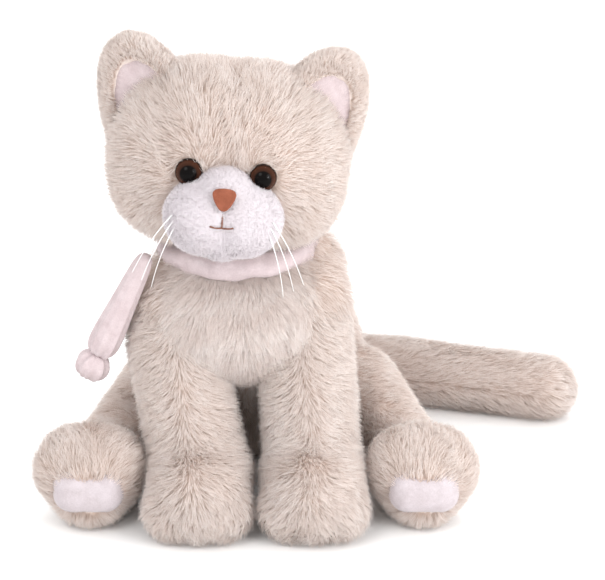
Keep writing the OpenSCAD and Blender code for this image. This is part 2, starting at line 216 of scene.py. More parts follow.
def grow_pile(name, skin, strands, length, flow, seed, width=0.00027, lift=(50, 22), tuft=0.002,
              gather=0.24, keep=None, wander=0.4):
    """Pile on a skin: thin tapered strands that leave it at lift[0] degrees, lie down to lift[1] along
    flow, and gather into tufts. The map runs across the strands and from root to tip."""
    rng = np.random.default_rng(seed)
    mesh = skin.data
    mesh.calc_loop_triangles()
    place = np.zeros(len(mesh.vertices) * 3)
    mesh.vertices.foreach_get("co", place)
    place = place.reshape(-1, 3)
    facing = np.zeros(len(mesh.vertices) * 3)
    mesh.vertices.foreach_get("normal", facing)
    facing = facing.reshape(-1, 3)
    corners = np.zeros(len(mesh.loop_triangles) * 3, dtype=np.int64)
    mesh.loop_triangles.foreach_get("vertices", corners)
    corners = corners.reshape(-1, 3)
    a, b, c = (place[corners[:, k]] for k in range(3))
    area = np.linalg.norm(np.cross(b - a, c - a), axis=1) / 2
    share = area * (keep((a + b + c) / 3) if keep else 1.0)
    picked = rng.choice(len(area), size=strands, p=share / share.sum())
    u, v = rng.random(strands), rng.random(strands)
    u, v = 1 - np.sqrt(u), np.sqrt(u) * v
    weights = np.stack([u, v, 1 - u - v], axis=1)
    root = np.einsum("nk,nkj->nj", weights, place[corners[picked]])
    out = unit(np.einsum("nk,nkj->nj", weights, facing[corners[picked]]))

    along = flow(root, out) + wander * drift(root, 0.03, seed) + 0.2 * rng.normal(size=root.shape)
    along = unit(along - out * np.sum(along * out, axis=1, keepdims=True))
    across = np.cross(out, along)
    reach = length(root) if callable(length) else np.full(strands, length)
    reach = reach * rng.uniform(0.72, 1.12, strands)

    path = [root]
    for k in range(RINGS):
        lean = lift[0] + (lift[1] - lift[0]) * k / (RINGS - 1)
        rise = np.radians(lean + rng.normal(0, 11, strands))[:, None]
        path.append(path[-1] + (reach / RINGS)[:, None] * (np.cos(rise) * along + np.sin(rise) * out))
    path = np.stack(path, axis=1)

    leaders = rng.choice(strands, size=max(8, int(area.sum() / tuft**2)), replace=False)
    tree = kdtree.KDTree(len(leaders))
    for i, leader in enumerate(leaders):
        tree.insert(root[leader], i)
    tree.balance()
    leader = leaders[[tree.find(p)[1] for p in root]]
    up_strand = np.linspace(0, 1, RINGS + 1)[None, :] ** 1.3
    pull = gather * rng.uniform(0.6, 1.15, strands)[leader][:, None] * up_strand
    path = path + (path[leader] - path) * np.clip(pull, 0, 0.95)[:, :, None]

    path[:, :, 2] = np.maximum(path[:, :, 2], PILE_FLOOR)

    turn = rng.normal(0, 0.4, strands)[:, None]
    side = np.cos(turn) * across + np.sin(turn) * out
    wide = width * rng.uniform(0.75, 1.25, strands)[:, None]
    points = []
    for k, share in zip(range(RINGS), (1.0, 0.85)):
        points += [path[:, k] - side * wide * share / 2, path[:, k] + side * wide * share / 2]
    points.append(path[:, RINGS])
    per = 2 * RINGS + 1
    points = np.stack(points, axis=1).reshape(-1, 3)

    quads = [(2 * k + 1, 2 * k, 2 * k + 2, 2 * k + 3) for k in range(RINGS - 1)]
    order = [i for quad in quads for i in quad] + [per - 2, per - 3, per - 1]
    first = (np.arange(strands) * per)[:, None]
    loops = (first + np.array(order)[None, :]).ravel()
    sizes = np.tile([4] * (RINGS - 1) + [3], strands)
    pile = bpy.data.meshes.new(name)
    pile.vertices.add(len(points))
    pile.vertices.foreach_set("co", points.ravel())
    pile.loops.add(len(loops))
    pile.loops.foreach_set("vertex_index", loops.astype(np.int32))
    pile.polygons.add(len(sizes))
    starts = np.concatenate([[0], np.cumsum(sizes)[:-1]])
    pile.polygons.foreach_set("loop_start", starts.astype(np.int32))
    pile.update(calc_edges=True)
    tone = 0.5 + 0.22 * drift(root, 0.022, seed + 7)[:, 0] + rng.normal(0, 0.13, strands)
    tone = np.clip(tone, 0.02, 0.9)
    map_u = np.array([0, 0.08] * RINGS + [0.04])
    map_v = np.array([k / RINGS for k in range(RINGS) for _ in range(2)] + [1.0])
    own = np.stack([tone[:, None] + map_u[None, :], np.tile(0.01 + 0.98 * map_v, (strands, 1))], axis=2)
    own = own.reshape(-1, 2)
    layer = pile.uv_layers.new(name="OFBake")
    layer.data.foreach_set("uv", own[loops].ravel())
    own_facing = np.repeat(unit(np.cross(side, path[:, -1] - root)), per, axis=0)
    soft = unit(np.repeat(out, per, axis=0) - 0.18 * own_facing)
    pile.polygons.foreach_set("use_smooth", np.ones(len(sizes), dtype=bool))
    pile.normals_split_custom_set_from_vertices(soft.astype(np.float32))
    piece = bpy.data.objects.new(name, pile)
    bpy.context.scene.collection.objects.link(piece)
    return piece


def pile_finish(name, root, middle, tip, shade, glow_share=0.5):
    """Long acrylic pile: tan at the root, and darker there still with painted shade for the depth of the pile,
    pale and a little see-through at the tip, with tufts that differ in tone."""
    finish, nodes, links, shader = new_finish(name, 0.75, 0.2)
    shader.inputs["Sheen Weight"].default_value = 0.25
    shader.inputs["Sheen Roughness"].default_value = 0.5
    where = node_of(nodes, "ShaderNodeUVMap", {"uv_map": "OFBake"})
    split = nodes.new("ShaderNodeSeparateXYZ")
    links.new(where.outputs["UV"], split.inputs[0])
    # painted shade: both ramps darken towards the root, partly the pile's own tan and partly the shade deep
    # between the strands
    light = ramp_of(nodes, (0.0, root), (0.42, middle), (0.85, tip))
    dark = ramp_of(nodes, (0.0, tuple(c * shade for c in root[:3]) + (1,)),
                   (0.55, tuple(c * (0.5 + shade / 2) for c in middle[:3]) + (1,)), (1.0, middle))
    links.new(split.outputs["Y"], light.inputs[0])
    links.new(split.outputs["Y"], dark.inputs[0])
    mix = node_of(nodes, "ShaderNodeMix", {"data_type": "RGBA"})
    links.new(split.outputs["X"], mix.inputs["Factor"])
    links.new(dark.outputs[0], mix.inputs["A"])
    links.new(light.outputs[0], mix.inputs["B"])
    links.new(mix.outputs["Result"], shader.inputs["Base Color"])
    glow = nodes.new("ShaderNodeBsdfTranslucent")
    links.new(mix.outputs["Result"], glow.inputs["Color"])
    both = node_of(nodes, "ShaderNodeMixShader", None, Fac=glow_share)
    links.new(shader.outputs[0], both.inputs[1])
    links.new(glow.outputs[0], both.inputs[2])
    links.new(both.outputs[0], nodes["Material Output"].inputs["Surface"])
    return finish


def backing_finish(name, colour):
    """The knitted backing under the pile, only glimpsed between tufts."""
    finish, nodes, links, shader = new_finish(name, 0.95, 0.1)
    place = nodes.new("ShaderNodeTexCoord")
    grain = node_of(nodes, "ShaderNodeTexNoise", None, Scale=900.0, Detail=2.0)
    links.new(place.outputs["Object"], grain.inputs["Vector"])
    tones = ramp_of(nodes, (0.3, tuple(c * 0.88 for c in colour[:3]) + (1,)), (0.7, colour))
    links.new(grain.outputs["Fac"], tones.inputs[0])
    links.new(tones.outputs[0], shader.inputs["Base Color"])
    return finish


def dress(piece, finish, body, slot, *nodes_replaced):
    """Gives a finished piece its material and its body; the slot is not used."""
    piece.data.materials.clear()
    piece.data.materials.append(finish)
    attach(piece, body)
    if nodes_replaced:
        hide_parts(*nodes_replaced)
    return piece


CREAM = pile_finish("cream_pile", srgb(218, 198, 184), srgb(238, 226, 219), srgb(251, 248, 246), 0.92)
BACKING = backing_finish("cream_backing", srgb(226, 212, 205))

rump_r = span("body_cover")[1].y - seat.y
rump = Vector((seat.x, seat.y, 0.88 * rump_r))
panel_low, panel_high = span("chest_panel")
chest_r = 0.030
chest = Vector(((panel_low.x + panel_high.x) / 2, panel_low.y + 0.0033 + chest_r, 0.092))
chest_half = Vector((0.022, 0, 0))
back = Vector((chest.x, chest.y + 0.016, chest.z - 0.008))

torso_balls = row_of_balls(rump, back, rump_r - PILE_BASE, 0.034 - PILE_BASE, 9)
torso_balls += row_of_balls(chest - chest_half, chest + chest_half,
                            chest_r - PILE_BASE, chest_r - PILE_BASE, 7)
shoulder_left, shoulder_right = Vector((0.017, -0.045, 0.105)), Vector((-0.026, -0.045, 0.105))
torso_balls += [(shoulder_left, 0.0215), (shoulder_right, 0.019)]
torso_skin = stuffed_form("body_skin", torso_balls, floor_z=SKIN_FLOOR)
dress(torso_skin, BACKING, "torso", "cream_plush", "body_cover", "body_stuffing", "seat_pellet_bag")


def body_flow(root, out):
    """Down the belly, sides and back, and away from the seam down the middle."""
    down = np.tile([0, 0.12, -1.0], (len(root), 1))
    down[:, 0] = 0.25 * np.sign(root[:, 0] - chest.x)
    return down


body_fur = grow_pile("body_fur", torso_skin, 60000, 0.0095, body_flow, 11,
                     keep=lambda p: np.clip((p[:, 2] - 0.001) * 600, 0, 1))
dress(body_fur, CREAM, "torso", "cream_plush")

# ---- Neck ----
# A hidden ball of filling joins the body and the head under the scarf, in the same pile fabric.

neck_mid = joints["head_turn"]
neck_skin = stuffed_form("neck_skin", [(neck_mid, 0.0225)])
dress(neck_skin, BACKING, "neck", "cream_plush", "neck_stuffing")


def neck_flow(root, out):
    return np.tile([0, 0, -1.0], (len(root), 1))


neck_fur = grow_pile("neck_fur", neck_skin, 6000, 0.005, neck_flow, 15)
dress(neck_fur, CREAM, "neck", "cream_plush")

# ---- Head ----
# A stuffed ball of cream pile fabric, wider than it is deep, with a narrow panel up the forehead whose
# pile runs straight up, and cheeks whose pile runs out from the nose.

head_low, head_high = span("head_cover")
head_r = (head_high.y - head_low.y) / 2
head_centre = Vector(((head_low.x + head_high.x) / 2, (head_low.y + head_high.y) / 2,
                      head_high.z - head_r))
ear_line = joints["ear_left_bend"] - joints["ear_right_bend"]
head_tilt = Matrix.Rotation(math.atan2(-ear_line.z, ear_line.x), 4, "Y")
head_frame = Matrix.Translation(head_centre) @ head_tilt
head_back = np.array(head_frame.inverted())


def in_head(x, y, z):
    return head_frame @ Vector((x, y, z))


def to_head(points):
    return points @ head_back[:3, :3].T + head_back[:3, 3]


head_balls = [(in_head(0, 0, -0.001), head_r - PILE_BASE - 0.0015)]
for side in (1, -1):
    head_balls += [
        (in_head(side * 0.013, 0, 0), 0.0385),
        (in_head(side * 0.022, -0.003, -0.009), 0.0285),
        (in_head(side * 0.020, 0, 0.012), 0.0265),
        (in_head(side * 0.009, -0.005, 0.009), 0.0325),
        (in_head(side * 0.014, -0.006, 0.019), 0.0225),
    ]
head_skin = stuffed_form("head_skin", head_balls)
dress(head_skin, BACKING, "head", "cream_plush", "head_cover", "head_stuffing")

nose_bridge = np.array([0, -0.045, -0.006])


def head_flow(root, out):
    """Straight up the forehead panel, out from the nose over the cheeks, and down the back."""
    local = to_head(root)
    away = local - nose_bridge
    away[:, 1] += 0.03
    away[:, 2] -= 0.012
    forehead = np.clip(1.6 - np.abs(local[:, 0]) / 0.011, 0, 1) * np.clip(local[:, 2] / 0.012, 0, 1)
    forehead = (forehead * np.clip(-local[:, 1] / 0.01, 0, 1))[:, None]
    behind = np.clip(local[:, 1] / 0.03 + 0.2, 0, 1)[:, None]
    way = unit(away) * (1 - forehead) + np.array([0, 0.2, 1.0]) * forehead
    way = way * (1 - behind) + np.array([0, 0.1, -1.0]) * behind
    return way @ np.array(head_tilt)[:3, :3].T


def head_keep(p):
    """Leaves the pile off under the muzzle and round the eyes."""
    local = to_head(p)
    muzzle = np.linalg.norm((local - [0, -0.042, -0.017]) / [0.027, 0.02, 0.0175], axis=1)
    clear = np.clip((muzzle - 0.9) * 6, 0, 1)
    for side in (1, -1):
        eye = np.linalg.norm((local - [side * 0.016, -0.041, 0.002]), axis=1)
        clear *= np.clip((eye - 0.0058) * 900, 0, 1)
    return clear


head_fur = grow_pile("head_fur", head_skin, 62000, 0.009, head_flow, 21, keep=head_keep)
dress(head_fur, CREAM, "head", "cream_plush")

# ---- Muzzle ----
# A short white plush piece gathered into two puffs with a cleft between them, sewn into the face.

WHITE = pile_finish("white_pile", srgb(236, 228, 230), srgb(243, 237, 240), srgb(247, 243, 246),
                    0.98, 0.35)
WHITE_BACKING = backing_finish("white_backing", srgb(246, 241, 242))
muzzle_balls = []
for side in (1, -1):
    muzzle_balls += [
        (in_head(side * 0.0086, -0.042, -0.0165), 0.0160),
        (in_head(side * 0.0122, -0.041, -0.0165), 0.0128),
    ]
muzzle_balls += [(in_head(0, -0.042, -0.008), 0.013), (in_head(0, -0.041, -0.022), 0.013)]
muzzle_skin = stuffed_form("muzzle_skin", muzzle_balls, voxel=0.0016, smooth=4)
dress(muzzle_skin, WHITE_BACKING, "head", "muzzle_plush", "muzzle_cover", "muzzle_stuffing")


def muzzle_flow(root, out):
    local = to_head(root)
    away = local - np.array([0, -0.056, -0.006])
    away[:, 2] -= 0.006
    return away @ np.array(head_tilt)[:3, :3].T


nose_mid = np.array([0, -0.0575, -0.0047])
NOSE_CLEAR = 0.0048
THREAD_CLEAR = 0.0008


def muzzle_keep(p):
    """Leaves the pile off under the nose, along the mouth and behind the face."""
    local = to_head(p)
    x, z = np.abs(local[:, 0]), local[:, 2]
    in_front = local[:, 1] < -0.05
    under_nose = np.linalg.norm((local - nose_mid) * [1, 0.3, 1], axis=1) <= NOSE_CLEAR
    upright = in_front & (x < THREAD_CLEAR) & (z < -0.008) & (z > -0.017)
    strokes = in_front & (x < 0.005) & (np.abs(z + 0.0168) < THREAD_CLEAR)
    return np.clip((-0.03 - local[:, 1]) * 400, 0, 1) * ~(under_nose | upright | strokes)


muzzle_fur = grow_pile("muzzle_fur", muzzle_skin, 60000, 0.0034, muzzle_flow, 31, width=0.00024,
                       tuft=0.0016, gather=0.06, lift=(42, 16), keep=muzzle_keep, wander=0.15)
dress(muzzle_fur, WHITE, "head", "muzzle_plush")

# ---- Chest panel ----
# A separate panel of longer pile between the front legs, pointed at its lower end, with a seam down
# its middle that parts the pile.

CHEST = pile_finish("chest_pile", srgb(208, 188, 175), srgb(234, 222, 216), srgb(251, 248, 246), 0.9)
panel_shift = Vector((0, -0.001, -0.002))
panel_r = 0.0285
panel_balls = row_of_balls(chest - chest_half * 0.6 + panel_shift, chest + chest_half * 0.6 + panel_shift,
                           panel_r, panel_r, 5)
chest_skin = stuffed_form("chest_skin", panel_balls, voxel=0.002)


def chest_flow(root, out):
    way = np.tile([0, 0, -1.0], (len(root), 1))
    from_seam = np.clip((root[:, 0] - chest.x) / 0.004, -1, 1)
    way[:, 0] = 0.35 * from_seam * np.clip((root[:, 2] - 0.06) / 0.03, 0.2, 1)
    return way


def chest_keep(p):
    """The pointed outline of the panel, on the front only."""
    half = np.interp(p[:, 2], [0.066, 0.092, 0.118], [0.004, 0.030, 0.031])
    inside = np.clip((half - np.abs(p[:, 0] - chest.x)) * 500, 0, 1)
    return inside * np.clip((chest.y - 0.006 - p[:, 1]) * 400, 0, 1) * (p[:, 2] > 0.066)


chest_fur = grow_pile("chest_fur", chest_skin, 36000, 0.0125, chest_flow, 41, keep=chest_keep,
                      tuft=0.0036, gather=0.42, lift=(50, 12))
dress(chest_fur, CHEST, "torso", "chest_plush", "chest_panel")
bpy.data.objects.remove(chest_skin)

# ---- Front legs ----
# Two long stuffed tubes that end in round paws, sewn on at the shoulders; a seam down the front of
# each parts the pile to left and right.


def leg_flow(seam_x, paw_top):
    """Down the leg and away from its front seam, then out all round the paw."""
    def flow(root, out):
        side = np.clip((root[:, 0] - seam_x(root[:, 2])) / 0.006, -1, 1)
        round_it = np.stack([-out[:, 1], out[:, 0], np.zeros(len(root))], axis=1)
        way = round_it * side[:, None] * 0.9 + np.array([0, 0, -0.8])
        near = np.clip(1.4 - (root[:, 2]) / 0.022, 0, 1)[:, None]
        spread = unit(root - np.array(paw_top)) + np.array([0, -0.5, -0.3])
        return way * (1 - near) + spread * near
    return flow


paw_low, paw_high = span("front_leg_cover_left")
for index, (name, side) in enumerate((("left", 1), ("right", -1))):
    shoulder = joints[f"front_leg_{name}_swing"]
    paw = Vector((side * (paw_high.x - 0.024), paw_low.y + 0.031, 0.022))
    wrist = Vector((paw.x, paw.y + 0.007, 0.0235))
    balls = row_of_balls(shoulder, wrist, 0.021 - PILE_BASE, 0.0215 - PILE_BASE, 9)
    heel, toes = paw + Vector((0, 0.004, 0)), paw + Vector((0, -0.0095, -0.002))
    balls += row_of_balls(heel, toes, 0.0215, 0.0195, 4)
    for toe in (-1, 0, 1):
        balls.append((paw + Vector((toe * 0.0105, -0.0165 + 0.002 * abs(toe), -0.0075)), 0.0118))
    skin = stuffed_form(f"front_leg_skin_{name}", balls, floor_z=SKIN_FLOOR)
    dress(skin, BACKING, f"front_leg_{name}", "cream_plush", f"front_leg_cover_{name}",
          f"front_leg_stuffing_{name}")

    def seam_x(z, top=shoulder, foot=paw):
        return np.interp(z, [foot.z, top.z], [foot.x, top.x])

    flow = leg_flow(seam_x, (paw.x, paw.y + 0.004, 0.034))
    fur = grow_pile(f"front_leg_fur_{name}", skin, 56000, 0.0085, flow, 51 + index)
    dress(fur, CREAM, f"front_leg_{name}", "cream_plush")

# ---- Hind legs ----
# Shorter stuffed legs that lie out to each side, with a thick upright foot whose sole faces forward
# and carries an oval velour pad.


def velour_finish(name, colour, deep, grain_size=1.0):
    """Short cut pile: a soft bloom at grazing angles, a faint directional mottle and a fine nap."""
    finish, nodes, links, shader = new_finish(name, 0.85, 0.2)
    shader.inputs["Sheen Weight"].default_value = 0.3
    shader.inputs["Sheen Roughness"].default_value = 0.4
    place = nodes.new("ShaderNodeTexCoord")
    nap = node_of(nodes, "ShaderNodeTexNoise", None, Scale=1600.0 * grain_size, Detail=3.0)
    brushed = node_of(nodes, "ShaderNodeTexNoise", None, Scale=160.0, Detail=4.0, Distortion=0.6)
    links.new(place.outputs["Object"], nap.inputs["Vector"])
    links.new(place.outputs["Object"], brushed.inputs["Vector"])
    tones = ramp_of(nodes, (0.3, deep), (0.7, colour))
    links.new(brushed.outputs["Fac"], tones.inputs[0])
    fine = ramp_of(nodes, (0.25, (0.86, 0.85, 0.85, 1)), (0.75, (1, 1, 1, 1)))
    links.new(nap.outputs["Fac"], fine.inputs[0])
    mix = node_of(nodes, "ShaderNodeMix", {"data_type": "RGBA", "blend_type": "MULTIPLY"}, Factor=1.0)
    links.new(tones.outputs[0], mix.inputs["A"])
    links.new(fine.outputs[0], mix.inputs["B"])
    links.new(mix.outputs["Result"], shader.inputs["Base Color"])
    bump = node_of(nodes, "ShaderNodeBump", None, Strength=0.5, Distance=0.0003)
    links.new(nap.outputs["Fac"], bump.inputs["Height"])
    links.new(bump.outputs[0], shader.inputs["Normal"])
    return finish


PINK_VELOUR = velour_finish("pink_velour", srgb(208, 194, 196), srgb(194, 178, 180))
PAD_VELOUR = velour_finish("pad_velour", srgb(202, 193, 197), srgb(188, 178, 181))

for index, (name, side) in enumerate((("left", 1), ("right", -1))):
    hip = joints[f"hind_leg_{name}_splay"]
    pad_low, pad_high = span(f"paw_pad_{name}")
    pad = (pad_low + pad_high) / 2
    foot = Vector((pad.x, pad_low.y + 0.0255, 0.0225))
    ankle = Vector((foot.x, foot.y + 0.014, 0.0185))
    balls = row_of_balls(hip, ankle, 0.024 - PILE_BASE, 0.0155 - PILE_BASE, 9)
    for x, y, z, r in ((0, 0, 0, 0.0215), (0, -0.006, 0.001, 0.0175), (0.006, -0.002, 0.003, 0.018),
                       (-0.006, -0.002, 0.003, 0.018), (0, -0.004, -0.004, 0.018)):
        balls.append((foot + Vector((x, y, z)), r))
    skin = stuffed_form(f"hind_leg_skin_{name}", balls, floor_z=SKIN_FLOOR)
    dress(skin, BACKING, f"hind_leg_{name}", "cream_plush", f"hind_leg_cover_{name}",
          f"hind_leg_stuffing_{name}")

    def foot_flow(root, out, foot=foot, hip=hip, side=side):
        """Out and down over the thigh, then out from the sole all round the foot."""
        from_sole = root - np.array([foot.x, foot.y - 0.02, foot.z - 0.004])
        from_sole[:, 1] *= 0.3
        near = np.clip((hip.y - 0.047 - root[:, 1]) / 0.02, 0, 1)[:, None]
        return np.array([side * 1.0, 0.05, -0.55]) * (1 - near) + unit(from_sole) * near

    def off_pad(p, foot=foot):
        far = np.hypot((p[:, 0] - foot.x) / 0.0125, (p[:, 2] - foot.z + 0.002) / 0.0076)
        bare = (far < 1) & (p[:, 1] < foot.y)
        return 1.0 - bare

    fur = grow_pile(f"hind_leg_fur_{name}", skin, 52000, 0.0075, foot_flow, 61 + index, keep=off_pad,
                    lift=(36, 12))
    dress(fur, CREAM, f"hind_leg_{name}", "cream_plush")
    pad_balls = [(foot + Vector((x, -0.0145, -0.001 + z)), 0.0095)
                 for x in (-0.007, -0.0035, 0, 0.0035, 0.007) for z in (-0.002, 0.002)]
    pad_piece = stuffed_form(f"sole_pad_{name}", pad_balls, voxel=0.0012)
    dress(pad_piece, PAD_VELOUR, f"hind_leg_{name}", "pad_velour", f"paw_pad_{name}")

# ---- Tail ----
# One long stuffed tube of the same pile, closed round at the tip and sewn low on the back.

tail_low, tail_high = span("tail_cover")
tail_r = (tail_high.z - tail_low.z) / 2
tail_root = joints["tail_swing"]
tail_tip = Vector((tail_high.x - tail_r, tail_low.y + tail_r, tail_r))
tail_bend = tail_root.lerp(tail_tip, 0.48) + Vector((0, 0.006, 0))
tail_balls = row_of_balls(tail_root, tail_bend, 0.0165 - PILE_BASE, tail_r + 0.001 - PILE_BASE, 10)
tail_balls += row_of_balls(tail_bend, tail_tip, tail_r + 0.001 - PILE_BASE, tail_r - PILE_BASE, 10)
tail_skin = stuffed_form("tail_skin", tail_balls, floor_z=SKIN_FLOOR)
dress(tail_skin, BACKING, "tail", "cream_plush", "tail_cover", "tail_stuffing")


def tail_flow(root, out):
    along = unit(np.tile(np.array(tail_tip - tail_bend), (len(root), 1)))
    return along + np.array([0, 0, 0.25]) * np.sign(root[:, 2] - tail_r - 0.001)[:, None]


tail_fur = grow_pile("tail_fur", tail_skin, 50000, 0.0095, tail_flow, 71)
dress(tail_fur, CREAM, "tail", "cream_plush")

# ---- Ears ----
# Each ear is a flat pocket of pile fabric, turned and sewn upright into the top of the head. Its front
# is lined with pink velour that sinks between the thick furry rims.

EAR_W = 0.046
EAR_H = 0.037
EAR_TILT = math.radians(22)
EAR_TOE = math.radians(16)
RIM_R = 0.0042
BARE_SHARE = (0.82, 0.85)
LINING_SHARE = (0.88, 0.91)
rim_half = EAR_W / 2 - RIM_R - 0.0010
rim_top = EAR_H - RIM_R - 0.0005


def rim_point(t):
    """A point on the ear's pointed arch, from one foot at -1 over the tip at 0 to the other foot."""
    across = math.sin(t * math.pi / 2) * (1 - 0.22 * math.cos(t * math.pi / 2))
    rise = math.cos(abs(t) ** 1.1 * math.pi / 2) ** 0.9
    return rim_half * across, rim_top * rise


for index, (name, side) in enumerate((("left", 1), ("right", -1))):
    hinge = joints[f"ear_{name}_bend"]
    turn = Euler((0, side * EAR_TILT, 0)).to_matrix() @ Euler((0, 0, side * EAR_TOE)).to_matrix()
    ear_frame = Matrix.Translation(hinge) @ head_tilt @ turn.to_4x4()
    to_ear = np.array(ear_frame.inverted())

    balls = []
    for k in range(37):
        x, z = rim_point(-1 + k / 18)
        balls.append((ear_frame @ Vector((x, -0.0006, z)), RIM_R))
        balls.append((ear_frame @ Vector((x * 1.02, -0.0004, z - 0.004)), RIM_R))
        for inner in (0.25, 0.5, 0.75):
            balls.append((ear_frame @ Vector((x * inner, 0.0032, z * inner - 0.002)), 0.0025))
    for foot_x in (-rim_half, rim_half):
        for drop in (0.006, 0.010):
            balls.append((ear_frame @ Vector((foot_x, 0, -drop)), RIM_R))
    skin = stuffed_form(f"ear_skin_{name}", balls, voxel=0.0014, smooth=5)
    dress(skin, BACKING, f"ear_{name}", "cream_plush", f"ear_cover_{name}")

    def ear_flow(root, out, ear_frame=ear_frame, to_ear=to_ear):
        """Out from the middle of the ear over its rim, and up towards the tip."""
        local = root @ to_ear[:3, :3].T + to_ear[:3, 3]
        local[:, 1] *= 0.3
        local[:, 2] += 0.002
        return unit(local) @ np.array(ear_frame)[:3, :3].T + 0.5 * out

    def ear_keep(p, to_ear=to_ear):
        """Bare where the lining lies."""
        local = p @ to_ear[:3, :3].T + to_ear[:3, 3]
        wide, tall = rim_half * BARE_SHARE[0], rim_top * BARE_SHARE[1]
        reach = np.hypot(local[:, 0] / wide, np.maximum(local[:, 2], 0) / tall)
        return 1.0 - (reach < 0.98) * (local[:, 1] < 0.001)

    fur = grow_pile(f"ear_fur_{name}", skin, 28000, 0.0046, ear_flow, 81 + index, width=0.00026,
                    tuft=0.0016, gather=0.15, lift=(52, 24), keep=ear_keep)
    dress(fur, CREAM, f"ear_{name}", "cream_plush")

    # the lining: a half disc of velour, pressed in towards its middle and folded at its foot
    sheet = bmesh.new()
    bmesh.ops.create_circle(sheet, cap_ends=True, segments=40, radius=1.0)
    bmesh.ops.inset_region(sheet, faces=sheet.faces[:], thickness=0.12)
    for _ in range(4):
        middle = [f for f in sheet.faces if len(f.verts) > 4]
        bmesh.ops.inset_region(sheet, faces=middle, thickness=0.16)
    for v in sheet.verts:
        t = math.atan2(v.co.x, v.co.y) / math.pi
        far = v.co.to_2d().length
        x, z = rim_point(max(-1.0, min(1.0, t * 1.6)))
        z = z if abs(t) < 0.625 else -0.006 * (abs(t) - 0.625) / 0.375
        x = x if abs(t) < 0.625 else x * (1 - abs(t)) / 0.375
        dip = 0.0040 * (1 - far**2.4) * (1 - 0.5 * max(0.0, v.co.y))
        fold = 0.0012 * math.exp(-((v.co.x - side * 0.1) / 0.2) ** 2)
        across, up = x * far * LINING_SHARE[0], (z - 0.004) * far * LINING_SHARE[1]
        v.co = ear_frame @ Vector((across, -0.0038 + (dip + fold), 0.004 + up))
    bmesh.ops.recalc_face_normals(sheet, faces=sheet.faces[:])
    if sum(f.normal.y * f.calc_area() for f in sheet.faces) > 0:
        bmesh.ops.reverse_faces(sheet, faces=sheet.faces[:])
    lining = piece_of(f"ear_velour_{name}", sheet)
    round_it = lining.modifiers.new("round", "SUBSURF")
    round_it.levels = round_it.render_levels = 2
    thick = lining.modifiers.new("cloth", "SOLIDIFY")
    thick.thickness = 0.0009
    dress(lining, PINK_VELOUR, f"ear_{name}", "ear_velour", f"ear_lining_{name}")

# ---- Eyes ----
# Domed plastic safety eyes on shanks: a black pupil and a dark brown iris under a clear gloss.


def eye_finish(name, centre, axis, radius):
    """Rings round the eye's own axis: a black pupil, a dark brown iris and a darker rim."""
    finish, nodes, links, shader = new_finish(name, 0.04, 0.07)
    place = nodes.new("ShaderNodeTexCoord")
    offset = node_of(nodes, "ShaderNodeVectorMath", {"operation": "SUBTRACT"})
    offset.inputs[1].default_value = centre
    turned = node_of(nodes, "ShaderNodeVectorMath", {"operation": "CROSS_PRODUCT"})
    turned.inputs[1].default_value = axis
    far = node_of(nodes, "ShaderNodeVectorMath", {"operation": "LENGTH"})
    share = node_of(nodes, "ShaderNodeMath", {"operation": "DIVIDE"})
    share.inputs[1].default_value = radius
    links.new(place.outputs["Object"], offset.inputs[0])
    links.new(offset.outputs[0], turned.inputs[0])
    links.new(turned.outputs[0], far.inputs[0])
    links.new(far.outputs["Value"], share.inputs[0])
    rings = ramp_of(nodes, (0.0, srgb(9, 7, 7)), (0.57, srgb(12, 8, 7)), (0.66, srgb(52, 30, 21)),
                    (0.86, srgb(66, 38, 26)), (0.97, srgb(26, 14, 10)))
    links.new(share.outputs[0], rings.inputs[0])
    links.new(rings.outputs[0], shader.inputs["Base Color"])
    return finish


for name in ("left", "right"):
    low, high = span(f"eye_{name}")
    eye_r = (high.x - low.x) / 2
    front = Vector((0, -1, 0.1)).normalized()
    middle = Vector(((low.x + high.x) / 2, low.y + eye_r, high.z - eye_r))
    place = Matrix.Translation(middle) @ front.to_track_quat("Z", "Y").to_matrix().to_4x4()
    dome = bmesh.new()
    bmesh.ops.create_uvsphere(dome, u_segments=40, v_segments=24, radius=eye_r, matrix=place)
    eye = piece_of(f"eye_dome_{name}", dome)
    dress(eye, eye_finish(f"eye_{name}_plastic", middle, front, eye_r), "head", "eye_plastic",
          f"eye_{name}", f"eye_washer_{name}")

# ---- Nose and mouth ----
# A flocked plastic nose, a rounded triangle with a soft front, and a mouth in brown thread: one upright
# stitch with a short curved one to each side of its foot.

nose_low, nose_high = span("nose")
nose_w = nose_high.x - nose_low.x
NOSE_LEAN = 18
pad_mid = Vector(((nose_low.x + nose_high.x) / 2, nose_low.y + 0.0034, nose_high.z - 0.48 * nose_w))
pad_frame = Matrix.Translation(pad_mid) @ head_tilt @ Matrix.Rotation(math.radians(90 - NOSE_LEAN), 4, "X")
nose_form = bmesh.new()
outline = [(-0.50, 0.20), (-0.36, 0.40), (0, 0.43), (0.36, 0.40), (0.50, 0.20), (0.34, -0.16),
           (0.13, -0.46), (-0.13, -0.46), (-0.34, -0.16)]
corners = [nose_form.verts.new((x * nose_w, y * nose_w, 0)) for x, y in outline]
pad = nose_form.faces.new(corners)
front_face = bmesh.ops.extrude_face_region(nose_form, geom=[pad])["geom"]
front_verts = [g for g in front_face if isinstance(g, bmesh.types.BMVert)]
bmesh.ops.translate(nose_form, verts=front_verts, vec=(0, 0, 0.0036))
top = [g for g in front_face if isinstance(g, bmesh.types.BMFace)]
bmesh.ops.inset_region(nose_form, faces=top, thickness=0.0017, depth=0.0012)
bmesh.ops.inset_region(nose_form, faces=top, thickness=0.0017, depth=0.0004)
bmesh.ops.recalc_face_normals(nose_form, faces=nose_form.faces[:])
bmesh.ops.transform(nose_form, matrix=pad_frame, verts=nose_form.verts[:])
nose = piece_of("nose_pad", nose_form)
rounded = nose.modifiers.new("round", "SUBSURF")
rounded.levels = rounded.render_levels = 3
FLOCK = velour_finish("nose_flocking", srgb(152, 90, 68), srgb(126, 70, 50), 1.2)
dress(nose, FLOCK, "head", "nose_flock", "nose", "nose_washer")


